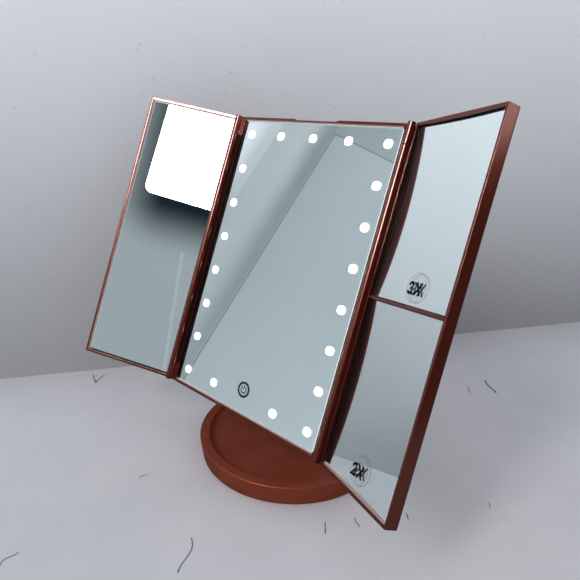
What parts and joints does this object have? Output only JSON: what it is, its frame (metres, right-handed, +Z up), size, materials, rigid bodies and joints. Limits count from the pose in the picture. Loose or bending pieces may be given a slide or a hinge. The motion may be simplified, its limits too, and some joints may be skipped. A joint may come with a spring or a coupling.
{
  "type": "trifold vanity mirror",
  "caption": "Folding three-panel tabletop mirror with a lamp-lit centre glass, one flat and two concave magnifying side panes, and a tilting neck on a round tray base.",
  "frame": {"origin": "middle of the footprint, on the plane that the rubber pad rests on", "axes": "+Z up, +X to the right of a person who looks into the mirror, +Y away from that person, towards the back of the mirror"},
  "size_m": [0.341, 0.1972, 0.3072],
  "materials": {
    "copper_plastic": "moulded, rose gold coat, satin gloss",
    "inner_plastic": "moulded, plain",
    "silvered_glass": "polished, silvered on the back",
    "clear_film": "clear self-adhesive film",
    "lamp_white": "frosted",
    "board_green": "solder resist",
    "bright_steel": "zinc plated",
    "spring_steel": "nickel plated",
    "ballast_steel": "raw plate",
    "black_rubber": "moulded",
    "foam_tape": "open cell foam",
    "cell_jacket": "printed shrink sleeve, left plain",
    "lead_sleeve": "insulation",
    "black_plastic": "moulded"
  },
  "bodies": {
    "stand": {"base_tray": "copper_plastic", "base_cover": "black_plastic", "base_weight": "ballast_steel", "rubber_pad": "black_rubber", "neck_front": "copper_plastic", "neck_rear": "copper_plastic", "neck_screws": "bright_steel"},
    "panel": {"center_frame": "copper_plastic", "center_mirror": "silvered_glass", "led_strips": "lamp_white", "leds": "lamp_white", "led_leads": "spring_steel", "touch_spring": "spring_steel", "control_board": "board_green", "rear_cover": "copper_plastic", "rear_screws": "bright_steel", "battery_cells": "cell_jacket", "battery_springs": "spring_steel", "contact_plates": "spring_steel", "usb_socket": "bright_steel", "usb_board": "board_green", "switch_body": "black_plastic", "wiring": "lead_sleeve", "tilt_pin": "bright_steel", "tilt_nut": "bright_steel", "right_hinge_pins": "bright_steel", "left_hinge_pins": "bright_steel"},
    "left_wing": {"left_wing_shell": "copper_plastic", "left_mirror": "silvered_glass", "left_foam": "foam_tape"},
    "right_wing": {"right_wing_shell": "copper_plastic", "right_upper_mirror": "silvered_glass", "right_lower_mirror": "silvered_glass", "right_foam": "foam_tape", "label_3x": "clear_film", "label_2x": "clear_film"},
    "battery_door": {"battery_door": "copper_plastic"},
    "switch_knob": {"switch_knob": "black_plastic"}
  },
  "joints": [
    {"name": "panel_tilt", "type": "hinge", "parent": "stand", "child": "panel", "pos_m": [0, -0.0143, 0.1242], "axis": [-1, 0, 0], "range_deg": [-32.9, 67.1]},
    {"name": "left_wing_hinge", "type": "hinge", "parent": "panel", "child": "left_wing", "pos_m": [-0.0884, -0.02498, 0.17756], "axis": [0, 0.3891, 0.9212], "range_deg": [-29.9, 150.1]},
    {"name": "right_wing_hinge", "type": "hinge", "parent": "panel", "child": "right_wing", "pos_m": [0.0884, -0.02498, 0.17756], "axis": [0, -0.3891, -0.9212], "range_deg": [-26.6, 153.4]},
    {"name": "battery_door_hinge", "type": "hinge", "parent": "panel", "child": "battery_door", "pos_m": [0, -0.0004, 0.18075], "axis": [-1, 0, 0], "range_deg": [0, 75]},
    {"name": "power_switch_slide", "type": "slide", "parent": "panel", "child": "switch_knob", "axis": [1, 0, 0], "range_m": [0, 0.003]}
  ]
}
